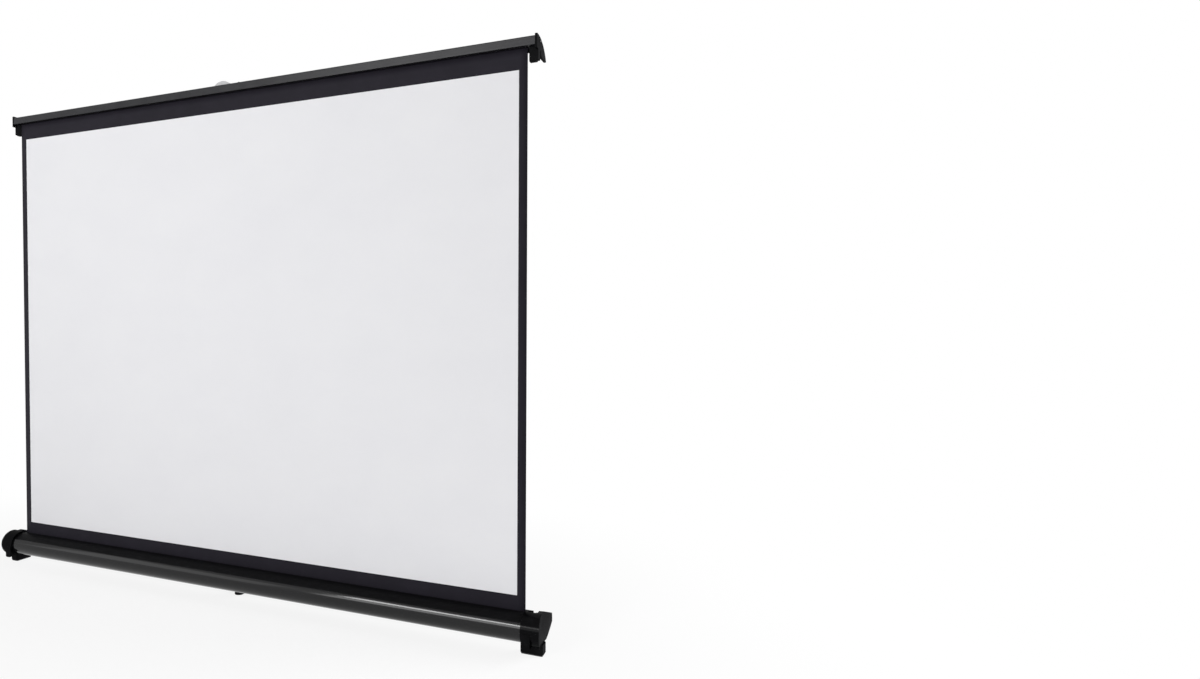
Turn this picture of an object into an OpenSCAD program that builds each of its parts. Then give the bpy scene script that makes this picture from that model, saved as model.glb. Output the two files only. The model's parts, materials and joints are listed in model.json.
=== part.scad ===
// Tabletop projection screen that pulls up out of a long case on a folding diamond brace.
// The picture faces -Y, X runs along the case and Z is up. The part stands on Z = 0.
// Every Y below is counted from the plane of the fabric and shifted once by seat().

/* [Picture] */
// Width of the white picture area
picture_w = 1016; // [860:1:1200]
// Height of the white picture area
picture_h = 762; // [600:1:900]
// Black border on each side
border_side = 13; // [8:1:30]
// Black border above the picture
border_top = 31; // [15:1:60]
// Black border that shows below the picture
border_bottom = 22; // [10:1:80]
// Thickness of the coated fabric
fabric_t = 0.4; // [0.3:0.05:0.5]
// Thickness of the white face
coat_t = 0.15; // [0.1:0.05:0.25]

/* [Case] */
// Height of the case at the slot
case_h = 40; // [39:0.25:41]
// Outer radius of the roller chamber
chamber_r = 20.5; // [20.25:0.25:21.5]
// Wall of the roller chamber
chamber_wall = 2.5; // [2:0.1:3]
// Wall of the rear trough
trough_wall = 1.8; // [1.4:0.1:2.4]
// Height of the trough's rear wall
rear_wall_h = 30; // [26:1:34]
// Height of the sloping rear corner
rear_slope_h = 18; // [15:0.5:19]
// Depth of the flat bottom behind the fabric
bottom_back = 12; // [11:0.5:13]
// Width of the slot that the fabric leaves by
slot_w = 2; // [1.6:0.1:3]
// How far the lips reach in front of the fabric
lip_front = 14.5; // [13.5:0.5:15]
// How far the lips reach behind the fabric
lip_back = 7; // [5:0.5:8]
// Height of the sloping strip above the bulge
strip_h = 7.5; // [6:0.5:8]
// Depth of the sloping strip
strip_d = 12.5; // [11.5:0.5:13]
// Wall under the sloping strip
strip_wall = 1.4; // [1.2:0.1:1.5]

/* [End caps] */
// Gap from the fabric's edge to the end cap
cap_start = 2; // [1:0.5:5]
// Length of the inner part of the cap
cap_inner = 16; // [14:0.5:22]
// Length of the outer part of the cap
cap_plate = 12; // [11:0.5:16]
// Height of the wall in front of the bar end's pocket
cap_low_h = 33; // [31:0.5:36]
// Radius of the cap's round front
cap_r = 23.5; // [22.5:0.25:25]
// How far the cap stands proud of the case behind
cap_proud = 1; // [0.5:0.25:2]
// How far the outer face falls away at its edges
cap_crown = 2; // [1:0.5:4]
// Width of the flat lug on the cap's front
lug_w = 13; // [10:0.5:13]
// How far the lug reaches below the case
lug_low = 2.5; // [0:0.5:4]

/* [Roller] */
// Radius of the roller tube
tube_r = 10; // [8:0.25:10.5]
// Wall of the roller tube
tube_wall = 1.2; // [0.8:0.1:2]
// Outer radius of the turns left on the tube with the screen up
roll_r = 11; // [10.75:0.25:12]
// Radius of the gudgeon
gudgeon_r = 4; // [3:0.25:5]
// Radius of the fixed arbor inside the spring
arbor_r = 3; // [2:0.25:3.5]
// Length of the spring
spring_len = 220; // [120:5:350]

/* [Top bar] */
// Height of the bar
bar_h = 13; // [12:0.5:18]
// How far the bar's face lies in front of the fabric
bar_front = 8; // [7:0.5:9]
// How far the bar's back lies behind the fabric
bar_back = 12; // [11:0.5:14]
// Wall of the bar
bar_wall = 1.6; // [1.2:0.1:2]
// Depth of the bar's rear skirt
skirt_h = 5; // [3:0.5:6]
// Radius of the rod in the hem
hem_r = 2.1; // [1.5:0.1:2.3]
// Height of the hem channel above the bar's underside
hem_up = 5.2; // [4.5:0.1:6]
// Thickness of the bar's end plates
bar_plate = 3.5; // [2.5:0.25:5]
// Depth of the plug that hangs below each bar end
plug_h = 21.5; // [14:0.5:21.5]
// Depth of the end plate behind the fabric
tail_back = 38; // [34:0.5:42]
// Height of the end plate above the bar's top
tip_up = 2.5; // [1:0.5:5]
// Width of the end plate where it curves down
cheek_w = 20; // [8:1:24]

/* [Brace] */
// Half of the distance between the two pivots of a bracket
pivot_dx = 58; // [45:1:80]
// How far the elbows stand outside the pivots
elbow_reach = 149; // [100:1:180]
// Height of the lower pivots above the case's bottom
base_pivot_up = 24; // [23:0.25:26]
// Height of the upper pivots above the bar's underside
bar_pivot_up = 4; // [2:0.25:5.5]
// Width of an arm
arm_w = 12.5; // [11:0.5:14]
// Depth of an arm
arm_d = 7; // [6:0.25:8]
// Sheet thickness of an arm
arm_t = 1.3; // [1:0.1:1.6]
// Radius of the elbow's round ends
knuckle_r = 8; // [7:0.25:9]
// Thickness of the elbow's tongues
tongue_t = 2.5; // [2:0.1:3]
// Distance from the elbow to the end of the channel
tongue_out = 15; // [12:0.5:22]
// Radius of the pivot pins
pin_r = 2.5; // [2:0.1:3]
// Thickness of the bar's bracket
bracket_t = 1.5; // [1.2:0.1:2]
// Thickness of the case's bracket
base_bracket_t = 2; // [1.5:0.1:2.5]

/* [Feet] */
// Height of the feet under the case
foot_h = 17; // [14:0.5:22]
// Width of an end foot
foot_w = 18; // [16:0.5:20]
// How far an end foot reaches from its pin
foot_long = 25; // [20:1:32]
// Thickness of the rubber pads
pad_t = 2; // [1:0.25:3]
// Width of the middle leg
leg_w = 16; // [12:0.5:22]
// How far the middle leg reaches behind the case
leg_out = 43; // [30:1:60]
// Height of the middle leg at its rear end
leg_end_h = 5; // [4:0.5:7]

/* [Latch] */
// Distance of the latch from the middle
latch_x = 4.5; // [0:0.5:12]
// Height of the latch pivot above the bar's underside
latch_up = 6; // [5.5:0.25:7]
// Angle of the lever with the latch open
latch_angle = 28; // [15:1:35]
// Radius at which the lever holds the catch
catch_reach = 13; // [12.5:0.25:13.5]
// Radius of the catch stud
catch_r = 1.5; // [1.2:0.1:1.8]
// Radius at which the knob sits
knob_reach = 20; // [19:0.5:24]
// Radius of the knob
knob_r = 3.5; // [2.5:0.25:4]
// Length of the pull grip
grip_w = 34; // [24:1:50]
// Height of the pull grip
grip_h = 7; // [4:0.5:10]

/* [Hidden] */
$fn = 64;
// Clearances
run = 0.05;
face_gap = 0.1;
soft_gap = 0.3;
closed_gap = 0.5;
plug_gap = 0.5;
head_gap = 0.3;
side_gap = 2;
swing_gap = 0.2;
// Heights
case_z = foot_h;
slot_z = case_z + case_h;
pic_z = slot_z + border_bottom;
bar_z = pic_z + picture_h + border_top;
bar_top = bar_z + bar_h;
travel = bar_z - slot_z - closed_gap;
// Half lengths along the case
fabric_x = picture_w/2 + border_side;
case_x = fabric_x + cap_start;
plate_x = case_x + cap_inner;
end_x = plate_x + cap_plate;
bar_end_x = plate_x - side_gap;
bar_x = bar_end_x - bar_plate;
// Pivot pins
head_r = pin_r + 2;
shoulder_r = pin_r + 1.5;
head_t = 1.6;
// Depths from the fabric
roller_y = -(roll_r + fabric_t/2 + soft_gap);
upper_y = bar_back + bracket_t + side_gap;
web_gap = 1;
lower_y = upper_y + arm_d + web_gap;
trough_back = lower_y + arm_d + face_gap + head_t + 1;
case_back = trough_back + trough_wall;
case_front = roller_y - chamber_r;
cap_front = roller_y - cap_r;
cap_top = chamber_r + cap_r;
lug_y = cap_front - 0.5;
lug_t = 4;
lug_r = 3;
lug_x = case_x + lug_w/2 + 2;
pocket_y = -3;
leg_y = roller_y + chamber_r - 1;
leg_end_y = case_back + leg_out;
fab_y = -(lug_y + leg_end_y)/2;
chamber_z = case_z + chamber_r;
inner_r = chamber_r - chamber_wall;
// Brace
base_pivot_z = case_z + base_pivot_up;
bar_pivot_z = bar_z + bar_pivot_up;
half_h = (bar_pivot_z - base_pivot_z)/2;
arm_len = sqrt(half_h*half_h + elbow_reach*elbow_reach);
rest_a = atan(elbow_reach/half_h);
elbow_x = pivot_dx + elbow_reach;
elbow_z = base_pivot_z + half_h;
bracket_x = pivot_dx + 14;
bracket_r = 3;
ear_w = 28;
ear_up = 7;
plate_low = 8;
flange_in = 4;
bracket_drop = skirt_h - 1;
bracket_top = bar_h - 2.5;
rivet_in = 26;
rivet_up = 2.5;
tongue_in = 28;
arm_rivet_d = [8, 20];
elbow_head_t = 1.4;
// Case lips, rib and screws
lip_h = 10;
rib_h = 10.5;
rib_back = 16;
port_y = rib_back - 3.6;
port_z = 4.7;
screw_y = port_y - 1.4;
screw_r = 1.5;
base_screw_x = bracket_x - 22;
base_screw_deep = 5;
cap_screw_deep = 14;
cap_head_r = 2.9;
cap_head_t = 2.2;
// Ends of the roller
roll_x = fabric_x - 6;
roll_flange = 2;
roll_plug = 20;
gudgeon_in = 9;
arbor_in = 8;
spring_x = roll_plug + 2 - roll_x;
spring_t = 2.2;
spigot_in = 4;
spigot_t = 2.35;
spigot_low = 3;
// Bar section
bar_round = 2;
back_step = 0.5;
step_down = 5.2;
hem_slot = 1.6;
hem_front = 1.2;
hem_wall = 1.8;
skirt_t = 2;
bar_port_r = 1.3;
bar_boss_r = 2.5;
bar_port_y = bar_back - back_step - bar_wall - bar_boss_r + 0.3;
bar_port_z = bar_h - bar_wall - bar_boss_r + 0.3;
// Bar ends: plug, tail and screws
plug_y = -1.8;
plug_w = 9.6;
plug_r = 2;
tail_r = tail_back + 8;
bar_screw_deep = 12;
bar_head_r = 2.6;
bar_head_t = 1.3;
grip_x = -latch_x - 16;
grip_in = 3;
// Latch
latch_pin_r = pin_r - 0.5;
lever_t = 3;
lever_w = 7;
lever_off = 0.5;
lever_y = bar_back + bracket_t + 0.5;
lever_back = lever_y + lever_t;
lever_boss_r = 4.5;
lever_tip = bar_h - latch_up + 6;
tab_t = 2.5;
knob_pin_r = 1.5;
// Feet
foot_x = end_x - foot_w/2;
foot_y = -5;
foot_r = 3;
foot_pin_r = 2.5;
foot_pin_up = 12;
foot_head_r = foot_pin_r + 2;
foot_head_t = 2;
foot_head_up = 1.4;
foot_recess_r = foot_pin_r + 2.5;
pad_in = 1;
// Middle leg
leg_lift = 3;
tip_len = 13;
tip_r = 2;

// Moves a piece from the fabric's plane to the part's frame
module seat() {
  translate([0, fab_y, 0]) children();
}

// Extrudes a Y-Z outline along X
module along_x(x0, x1) {
  translate([x0, 0, 0]) rotate([90, 0, 90]) linear_extrude(height = x1 - x0) children();
}

// Extrudes an X-Z outline along Y
module along_y(y0, y1) {
  translate([0, y1, 0]) rotate([90, 0, 0]) linear_extrude(height = y1 - y0) children();
}

// Draws the right-hand piece, or its mirror image for side -1
module side(s) {
  if (s > 0) children();
  else mirror([1, 0, 0]) children();
}

// Round bar along Y
module pin_y(r, y0, y1) {
  translate([0, y1, 0]) rotate([90, 0, 0]) cylinder(r = r, h = y1 - y0);
}

// Rectangle with round corners in 2D
module round_box(w, h, r) {
  translate([r, 0]) square([w - 2*r, h]);
  translate([0, r]) square([w, h - 2*r]);
  for (x = [r, w - r], y = [r, h - r]) translate([x, y]) circle(r = r);
}

// Back of the chamber's outside at a height above the case's bottom
function chamber_back(h) = roller_y + sqrt(chamber_r*chamber_r - (h - chamber_r)*(h - chamber_r));

// Slope of the rear corner, as height over depth
function slope() = rear_slope_h/(case_back - bottom_back);

// How far the clipped outline moves down to leave the strip its wall
function strip_drop() = strip_wall*sqrt(1 + pow(strip_h/strip_d, 2));

// Height of the trough's floor above the case's bottom, on its sloping stretch
function trough_floor(y) = slope()*(y - bottom_back) + trough_wall*sqrt(1 + pow(slope(), 2));

// Round outline about the roller, cut by the sloping strip and the flat top
module chamber_outline(r, h) {
  intersection() {
    translate([roller_y, chamber_r]) circle(r = r);
    polygon([[roller_y - 2*r, -2], [roller_y - 2*r, h - strip_h], [-lip_front - strip_d, h - strip_h],
      [-lip_front, h], [2*r, h], [2*r, -2]]);
  }
}

// Floor, sloping corner and rear wall of the trough
module trough_outline() {
  t = trough_wall;
  foot_of_slope = bottom_back - (trough_floor(bottom_back) - t)/slope();
  polygon([[roller_y, 0], [bottom_back, 0], [case_back, rear_slope_h], [case_back, rear_wall_h],
    [trough_back, rear_wall_h], [trough_back, trough_floor(trough_back)], [foot_of_slope, t],
    [roller_y, t]]);
}

module case_outline() {
  difference() {
    union() {
      chamber_outline(chamber_r, case_h);
      translate([-lip_front, case_h - lip_h]) square([lip_front + lip_back, lip_h]);
      trough_outline();
      translate([roller_y/2, 0]) square([rib_back - roller_y/2, rib_h]);
    }
    chamber_outline(inner_r, case_h - strip_drop());
    translate([-slot_w/2, chamber_r]) square([slot_w, case_h]);
    translate([port_y, port_z]) circle(r = screw_r - 0.2);
  }
}

module case_extrusion() {
  color("#17181a") seat() difference() {
    translate([0, 0, case_z]) along_x(-case_x, case_x) case_outline();
    // Holes for the leg's pin, the catch and the bracket's screws
    translate([0, leg_y, case_z - 1]) cylinder(r = foot_pin_r, h = rib_h);
    translate([latch_x, 0, catch_z()]) pin_y(catch_r, lip_back - 3, lip_back + 1);
    for (s = [-1, 1]) translate([s*base_screw_x, screw_y, case_z + rib_h - base_screw_deep])
      cylinder(r = screw_r, h = base_screw_deep + 1);
  }
}

// Height of the catch stud: where the lever's notch comes with the bar down
function catch_z() = bar_z - travel + latch_up - catch_reach;

// Outline of the cap from the case's bottom: round about the roller, then down to the rear wall
module cap_outline() {
  b = case_back + cap_proud;
  intersection() {
    union() {
      translate([roller_y, chamber_r]) circle(r = cap_r);
      polygon([[roller_y, 0], [bottom_back, 0], [b, rear_slope_h + cap_proud*slope()],
        [b, rear_wall_h + cap_proud], [lip_back + cap_proud, case_h + cap_proud],
        [-lip_front, case_h + cap_proud]]);
    }
    translate([-3*cap_r, 0]) square([6*cap_r, 3*cap_r]);
  }
}

module cap_body() {
  dome_r = (cap_top*cap_top/4 + cap_crown*cap_crown)/(2*cap_crown);
  front_wall = -bar_front - 1;
  translate([0, 0, case_z]) difference() {
    union() {
      // Outer part with a slightly crowned face
      intersection() {
        along_x(plate_x, end_x) cap_outline();
        translate([end_x - dome_r, case_back + 2, cap_top/2]) rotate([90, 0, 0])
          cylinder(r = dome_r, h = case_back - cap_front + 4, $fn = 128);
      }
      // Inner part, low behind the bar's front where the plug and the end plate come down
      along_x(case_x, plate_x) intersection() {
        cap_outline();
        polygon([[cap_front - 1, 0], [case_back, 0], [case_back, rear_slope_h], [pocket_y, rear_slope_h],
          [pocket_y, cap_low_h], [front_wall, cap_low_h], [front_wall, cap_top + 1],
          [cap_front - 1, cap_top + 1]]);
      }
      // Flat lug on the round front, its lower end hangs below the case
      translate([lug_x - lug_w/2, lug_y, lug_r - lug_low])
        cube([lug_w, roller_y - lug_y, chamber_r + lug_low - lug_r]);
      translate([lug_x - lug_w/2 + lug_r, lug_y, -lug_low]) cube([lug_w - 2*lug_r, lug_t, lug_r + 1]);
      for (s = [-1, 1]) translate([lug_x + s*(lug_w/2 - lug_r), 0, lug_r - lug_low])
        pin_y(lug_r, lug_y, lug_y + lug_t);
      // Lower half of a ring that plugs into the chamber
      difference() {
        translate([case_x - spigot_in, roller_y, chamber_r]) rotate([0, 90, 0])
          cylinder(r = inner_r - run, h = spigot_in + 1);
        translate([case_x - spigot_in - 1, roller_y, chamber_r]) rotate([0, 90, 0])
          cylinder(r = inner_r - run - spigot_t, h = spigot_in + 1);
        translate([case_x - spigot_in - 1, roller_y - chamber_r, chamber_r - spigot_low])
          cube([spigot_in + 3, 2*chamber_r, chamber_r + spigot_low]);
      }
    }
    // Screw hole with its counterbore
    translate([case_x - 1, port_y, port_z]) rotate([0, 90, 0])
      cylinder(r = screw_r + 0.2, h = cap_inner + cap_plate + 2);
    translate([plate_x, port_y, port_z]) rotate([0, 90, 0])
      cylinder(r = cap_head_r + head_gap, h = cap_plate + 1);
    // Bore for the foot's pin
    translate([foot_x, foot_y, -1]) cylinder(r = foot_pin_r, h = foot_pin_up + 1);
    children();
  }
}

module end_cap_left() {
  // Holds the fixed end of the spring's arbor
  color("#0e0e10") seat() side(-1) cap_body()
    translate([case_x - 1, roller_y, chamber_r]) rotate([0, 90, 0]) cylinder(r = arbor_r, h = arbor_in + 1);
}

module end_cap_right() {
  // Bearing for the roller's gudgeon
  color("#0e0e10") seat() side(1) cap_body()
    translate([case_x - 1, roller_y, chamber_r]) rotate([0, 90, 0])
      cylinder(r = gudgeon_r + run, h = gudgeon_in + 2);
}

module cap_screws() {
  color("#2b2c2e") seat() for (s = [-1, 1]) side(s)
    translate([0, port_y, case_z + port_z]) rotate([0, 90, 0]) {
      translate([0, 0, case_x - cap_screw_deep]) cylinder(r = screw_r - 0.2, h = cap_screw_deep + 1);
      translate([0, 0, case_x]) cylinder(r = screw_r, h = cap_inner);
      translate([0, 0, plate_x]) cylinder(r = cap_head_r, h = cap_head_t);
    }
}

// Foot with its pin at the origin and its long end towards +Y
module foot_body() {
  top = foot_h - swing_gap;
  difference() {
    translate([-foot_w/2, -foot_w/2, pad_t]) linear_extrude(height = top - pad_t)
      round_box(foot_w, foot_w/2 + foot_long, foot_r);
    translate([0, 0, pad_t - 1]) cylinder(r = foot_pin_r + run, h = foot_h);
    translate([0, 0, pad_t - 1]) cylinder(r = foot_recess_r, h = foot_head_up + foot_head_t + face_gap + 1);
  }
}

module foot_pad_body() {
  difference() {
    translate([pad_in - foot_w/2, pad_in - foot_w/2, 0]) linear_extrude(height = pad_t)
      round_box(foot_w - 2*pad_in, foot_w/2 + foot_long - 2*pad_in, foot_r - pad_in);
    translate([0, 0, -1]) cylinder(r = foot_recess_r + head_gap, h = pad_t + 2);
  }
}

// Puts a foot on its pin: turned out behind at the left, folded under the case at the right
module at_foot(s) {
  seat() side(s) translate([foot_x, foot_y, 0]) rotate([0, 0, s > 0 ? 90 : 0]) children();
}

module foot_left() {
  color("#131315") at_foot(-1) foot_body();
}

module foot_right() {
  color("#131315") at_foot(1) foot_body();
}

module foot_pad_left() {
  color("#26272a") at_foot(-1) foot_pad_body();
}

module foot_pad_right() {
  color("#26272a") at_foot(1) foot_pad_body();
}

// Pin with a head below, from a height up into the case or its cap
module stand_pin(z0, up) {
  translate([0, 0, z0]) cylinder(r = foot_head_r, h = foot_head_t);
  translate([0, 0, z0 + foot_head_t]) cylinder(r = foot_pin_r, h = case_z + up - z0 - foot_head_t);
}

module foot_pins() {
  color("#8d9096") seat() for (s = [-1, 1]) translate([s*foot_x, foot_y, 0])
    stand_pin(pad_t + foot_head_up, foot_pin_up);
}

// Middle leg that swings out behind the case
module rear_leg() {
  top = foot_h - swing_gap;
  len = leg_end_y - leg_y;
  drop = top - pad_t - leg_end_h;
  flat = bottom_back - leg_y + 4;
  cut_r = ((len - flat)*(len - flat) + drop*drop)/(2*drop);
  round_r = leg_w/4;
  color("#141416") seat() translate([0, leg_y, 0]) difference() {
    union() {
      translate([0, 0, pad_t + leg_lift]) cylinder(r = leg_w/2, h = top - pad_t - leg_lift);
      translate([-leg_w/2, 0, pad_t]) cube([leg_w, len - round_r, top - pad_t]);
      translate([round_r - leg_w/2, 0, pad_t]) cube([leg_w - 2*round_r, len, top - pad_t]);
      for (s = [-1, 1]) translate([s*(leg_w/2 - round_r), len - round_r, pad_t])
        cylinder(r = round_r, h = top - pad_t);
    }
    // Hollow curve of the upper side
    translate([-leg_w, len, pad_t + leg_end_h + cut_r]) rotate([0, 90, 0])
      cylinder(r = cut_r, h = 2*leg_w, $fn = 180);
    // Underside lifts clear of the table up to the tip
    translate([-leg_w, -leg_w, pad_t - 1]) cube([2*leg_w, leg_w + len - tip_len - 4, leg_lift + 1]);
    translate([0, 0, -1]) cylinder(r = foot_pin_r + run, h = foot_h + 2);
    translate([0, 0, pad_t + leg_lift - 1])
      cylinder(r = foot_recess_r, h = foot_head_up + foot_head_t + face_gap);
  }
}

module leg_tip() {
  color("#b9bcc2") seat() translate([0, leg_end_y - tip_len - 1, 0]) linear_extrude(height = pad_t)
    translate([pad_in - leg_w/2, 0]) round_box(leg_w - 2*pad_in, tip_len, tip_r);
}

module leg_pin() {
  color("#8d9096") seat() translate([0, leg_y, 0]) stand_pin(pad_t + leg_lift + foot_head_up - 1, rib_h - 1);
}

// Ring along X about the roller's axis
module roller_ring(r1, r0, x0, x1) {
  translate([x0, roller_y, chamber_z]) rotate([0, 90, 0]) difference() {
    cylinder(r = r1, h = x1 - x0);
    translate([0, 0, -1]) cylinder(r = r0, h = x1 - x0 + 2);
  }
}

module roller_tube() {
  color("#a9adb3") seat() roller_ring(tube_r, tube_r - tube_wall, -roll_x, roll_x);
}

module roller_plug_left() {
  color("#d8d8d4") seat() {
    roller_ring(tube_r - tube_wall - run, arbor_r + run, -roll_x, roll_plug - roll_x);
    roller_ring(tube_r, arbor_r + run, -roll_x - roll_flange, -roll_x);
  }
}

module roller_plug_right() {
  color("#d8d8d4") seat() translate([0, roller_y, chamber_z]) rotate([0, 90, 0]) {
    translate([0, 0, roll_x - roll_plug]) cylinder(r = tube_r - tube_wall - run, h = roll_plug);
    translate([0, 0, roll_x]) cylinder(r = tube_r, h = roll_flange);
    translate([0, 0, roll_x + roll_flange])
      cylinder(r = gudgeon_r, h = case_x + gudgeon_in - roll_x - roll_flange);
  }
}

module wound_fabric() {
  color("#1d1c22") seat() roller_ring(roll_r, tube_r, -roll_x, roll_x);
}

module spring_arbor() {
  arbor_len = spring_x + spring_len + case_x + arbor_in + 2;
  color("#9a9da2") seat() translate([-case_x - arbor_in, roller_y, chamber_z]) rotate([0, 90, 0])
    cylinder(r = arbor_r, h = arbor_len);
}

module roller_spring() {
  // Closed sleeve in the place of the torsion spring inside the tube
  color("#83868b") seat() roller_ring(arbor_r + spring_t, arbor_r, spring_x, spring_x + spring_len);
}

module screen_fabric() {
  color("#1e1d23") seat() translate([-fabric_x, -fabric_t/2, chamber_z])
    cube([2*fabric_x, fabric_t, bar_z + hem_up - hem_r - soft_gap - chamber_z]);
}

module picture_surface() {
  color("#eceaf0") seat() translate([-picture_w/2, -fabric_t/2 - coat_t, pic_z])
    cube([picture_w, coat_t, picture_h]);
}

module hem_rod() {
  color("#8d9096") seat() translate([-fabric_x, 0, bar_z + hem_up]) rotate([0, 90, 0])
    cylinder(r = hem_r, h = 2*fabric_x);
}

module bar_outline() {
  w = bar_wall;
  hem_y = hem_r + soft_gap + hem_wall;
  difference() {
    union() {
      translate([-bar_front, 0]) square([bar_front + bar_back, bar_h - bar_round]);
      translate([bar_round - bar_front, 0]) square([bar_front + bar_back - bar_round - back_step, bar_h]);
      translate([bar_round - bar_front, bar_h - bar_round]) circle(r = bar_round);
      translate([bar_back - skirt_t, -skirt_h]) square([skirt_t, skirt_h + 1]);
    }
    // Upper half of the back is set in a little
    translate([bar_back - back_step, bar_h - step_down]) square([back_step + 1, step_down + 1]);
    // Hem channel and its slot
    translate([0, hem_up]) circle(r = hem_r + soft_gap);
    translate([-hem_slot/2, -1]) square([hem_slot, hem_up + 1]);
    // Hollow at the back with the screw port
    difference() {
      translate([hem_y, w]) square([bar_back - hem_y - w - back_step, bar_h - 2*w]);
      translate([bar_port_y, bar_port_z]) circle(r = bar_boss_r);
    }
    translate([bar_port_y, bar_port_z]) circle(r = bar_port_r);
    // Hollow at the front
    translate([w - bar_front, w]) square([bar_front - w - hem_r - soft_gap - hem_front, bar_h - 2*w - 1]);
  }
}

module top_bar() {
  color("#1b1c1f") seat() translate([0, 0, bar_z]) along_x(-bar_x, bar_x) bar_outline();
}

// Moulded end of the bar: hooded plate, tail and plug
module bar_end_body() {
  a = bar_h + tip_up - tail_r;
  translate([0, 0, bar_z]) difference() {
    union() {
      along_x(bar_x, bar_end_x) {
        // Hood over the bar's section
        intersection() {
          translate([-bar_front/2, a]) circle(r = tail_r, $fn = 128);
          translate([-bar_front, -skirt_h]) square([bar_front + bar_back, bar_h + tip_up + skirt_h]);
        }
        // Tail that curves down at the back
        intersection() {
          difference() {
            translate([-bar_front/2, a]) circle(r = tail_r, $fn = 128);
            translate([-bar_front/2, a]) circle(r = tail_r - cheek_w, $fn = 128);
          }
          translate([bar_back - 1, -bar_h]) square([tail_back - bar_back + 1, 2*bar_h + tip_up]);
        }
      }
      // Plug that enters the case's end
      along_x(case_x + plug_gap, bar_x) {
        translate([plug_y, plug_r - plug_h]) square([plug_w, plug_h - plug_r]);
        translate([plug_y + plug_r, -plug_h]) square([plug_w - 2*plug_r, plug_r + 1]);
        for (y = [plug_y + plug_r, plug_y + plug_w - plug_r]) translate([y, plug_r - plug_h])
          circle(r = plug_r);
      }
      along_x(bar_x, bar_end_x) translate([plug_y, plug_r - plug_h]) square([plug_w, plug_h]);
    }
    // Screw hole
    translate([bar_x - 1, bar_port_y, bar_port_z]) rotate([0, 90, 0])
      cylinder(r = bar_port_r + head_gap, h = bar_plate + 2);
  }
}

module bar_end_left() {
  color("#0e0e10") seat() side(-1) bar_end_body();
}

module bar_end_right() {
  color("#0e0e10") seat() side(1) bar_end_body();
}

module bar_screws() {
  color("#2b2c2e") seat() for (s = [-1, 1]) side(s)
    translate([bar_x, bar_port_y, bar_z + bar_port_z]) rotate([0, 90, 0]) {
      translate([0, 0, -bar_screw_deep]) cylinder(r = bar_port_r, h = bar_screw_deep + bar_plate);
      translate([0, 0, bar_plate]) cylinder(r = bar_head_r, h = bar_head_t);
    }
}

// Steel plate on the bar's back that carries the upper pivots
module bar_bracket() {
  color("#202124") seat() difference() {
    along_y(bar_back, bar_back + bracket_t) translate([-bracket_x, bar_z - bracket_drop])
      round_box(2*bracket_x, bracket_drop + bracket_top, bracket_r);
    for (s = [-1, 1]) {
      translate([s*pivot_dx, 0, bar_pivot_z]) pin_y(pin_r, bar_back - 1, bar_back + bracket_t + 1);
      translate([s*(pivot_dx - rivet_in), 0, bar_z + rivet_up])
        pin_y(screw_r, bar_back - 1, bar_back + bracket_t + 1);
    }
    translate([latch_x, 0, bar_z + latch_up]) pin_y(latch_pin_r, bar_back - 1, bar_back + bracket_t + 1);
  }
}

module bracket_rivets() {
  color("#6d7076") seat() for (s = [-1, 1]) translate([s*(pivot_dx - rivet_in), 0, bar_z + rivet_up]) {
    pin_y(screw_r, bar_back, bar_back + bracket_t);
    pin_y(screw_r + 1.3, bar_back + bracket_t, bar_back + bracket_t + 1.1);
  }
}

// Shouldered pin: foot in the bracket, shoulder inside the channel, head behind the web
module arm_pin(y0, plate_t, ya) {
  web = ya + arm_d - arm_t;
  pin_y(pin_r, y0, web + arm_t + 2*face_gap);
  pin_y(shoulder_r, y0 + plate_t, web - face_gap);
  pin_y(head_r, web + arm_t + face_gap, web + arm_t + face_gap + head_t);
}

module bar_pins() {
  color("#b4b7bc") seat() for (s = [-1, 1]) translate([s*pivot_dx, 0, bar_pivot_z])
    arm_pin(bar_back, bracket_t, upper_y);
}

// Dome-topped grip for pulling the bar up
module pull_grip() {
  r = (grip_w*grip_w/4 + grip_h*grip_h)/(2*grip_h);
  color("#b9b9bb") seat() translate([grip_x, 0, bar_top]) along_y(grip_in - bar_front, bar_back - grip_in)
    intersection() {
      translate([0, grip_h - r]) circle(r = r, $fn = 96);
      translate([-grip_w, 0]) square([2*grip_w, grip_h + 1]);
    }
}

// Turns a piece drawn hanging straight down to the latch's open angle
module at_latch() {
  translate([latch_x, 0, bar_z + latch_up]) rotate([0, -latch_angle, 0]) children();
}

module latch_lever() {
  gap = catch_r + 0.6;
  edge = lever_off - lever_w/2;
  color("#101012") seat() at_latch() difference() {
    union() {
      along_y(lever_y, lever_back) difference() {
        union() {
          circle(r = lever_boss_r);
          translate([edge, -knob_reach]) square([lever_w, knob_reach + lever_tip + 1]);
          translate([lever_off, -knob_reach]) circle(r = lever_w/2 + 0.5);
        }
        // Notch round the lever's own pivot that closes on the catch
        intersection() {
          difference() {
            circle(r = catch_reach + gap);
            circle(r = catch_reach - gap);
          }
          polygon([[0, 0], [0, -2*knob_reach], [-2*knob_reach, -2*knob_reach], [-2*knob_reach, 0]]);
        }
        translate([0, -catch_reach]) circle(r = gap);
      }
      // Thumb tab above the bar
      along_y(lever_y - 1, lever_back + 3) translate([edge, lever_tip]) square([lever_w, tab_t]);
    }
    pin_y(latch_pin_r + run, lever_y - 1, lever_back + 1);
    translate([lever_off, 0, -knob_reach]) pin_y(knob_pin_r, lever_y - 1, lever_back + 1);
  }
}

module latch_knob() {
  color("#d5d7da") seat() at_latch() translate([lever_off, 0, -knob_reach]) {
    pin_y(knob_pin_r, lever_y, lever_back);
    pin_y(knob_r - 0.8, lever_back, lever_back + 1);
    pin_y(knob_r, lever_back + 1, lever_back + 3.5);
  }
}

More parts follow.
